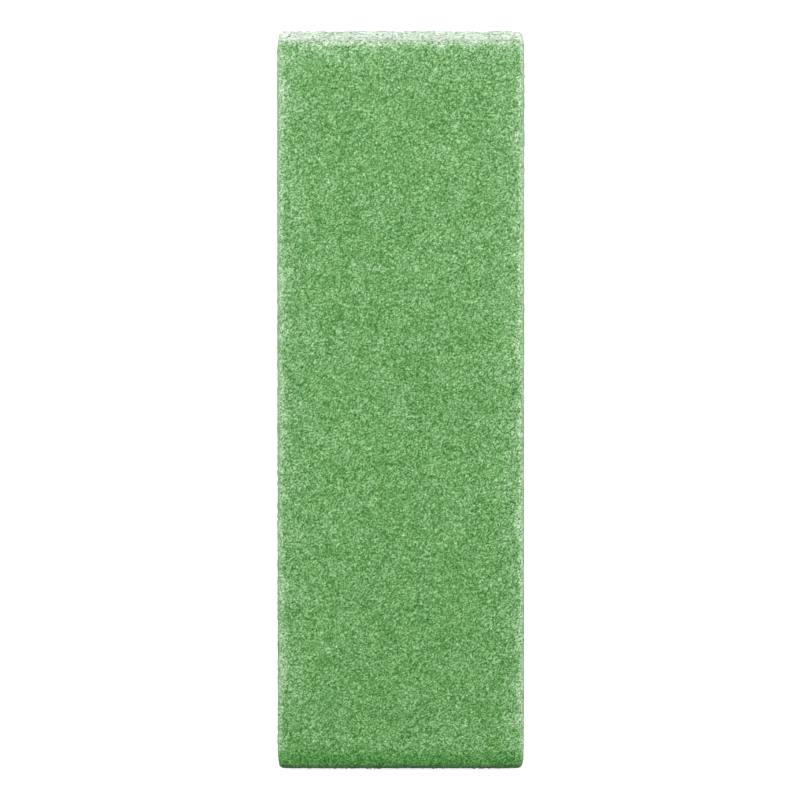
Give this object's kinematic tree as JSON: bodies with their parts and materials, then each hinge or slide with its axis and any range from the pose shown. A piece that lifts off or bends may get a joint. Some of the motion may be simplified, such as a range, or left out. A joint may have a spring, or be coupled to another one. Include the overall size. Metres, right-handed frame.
{
  "type": "sanding stick",
  "caption": "Small hand sanding stick for model making: a rectangular foam block with softly rounded edges, faced on every side with green abrasive grit.",
  "frame": {"origin": "centre of the bottom end face, on the surface that the stick stands on", "axes": "+Z along the stick's length towards the top end, +X across the broad front face, -Y out of the broad front face"},
  "size_m": [0.0254, 0.0126, 0.075],
  "materials": {
    "grit_coat": "medium abrasive grain set in green resin, matt and rough",
    "paper_backing": "fibrous tan abrasive-backing paper, matt",
    "adhesive_film": "cream transfer adhesive, slightly mottled",
    "foam_core": "fine closed-cell foam, matt"
  },
  "bodies": {
    "root": {"foam_core": "foam_core", "adhesive_front": "adhesive_film", "adhesive_back": "adhesive_film", "adhesive_left": "adhesive_film", "adhesive_right": "adhesive_film", "adhesive_top": "adhesive_film", "adhesive_bottom": "adhesive_film", "backing_front": "paper_backing", "backing_back": "paper_backing", "backing_left": "paper_backing", "backing_right": "paper_backing", "backing_top": "paper_backing", "backing_bottom": "paper_backing", "grit_front": "grit_coat", "grit_back": "grit_coat", "grit_left": "grit_coat", "grit_right": "grit_coat", "grit_top": "grit_coat", "grit_bottom": "grit_coat"}
  },
  "joints": []
}
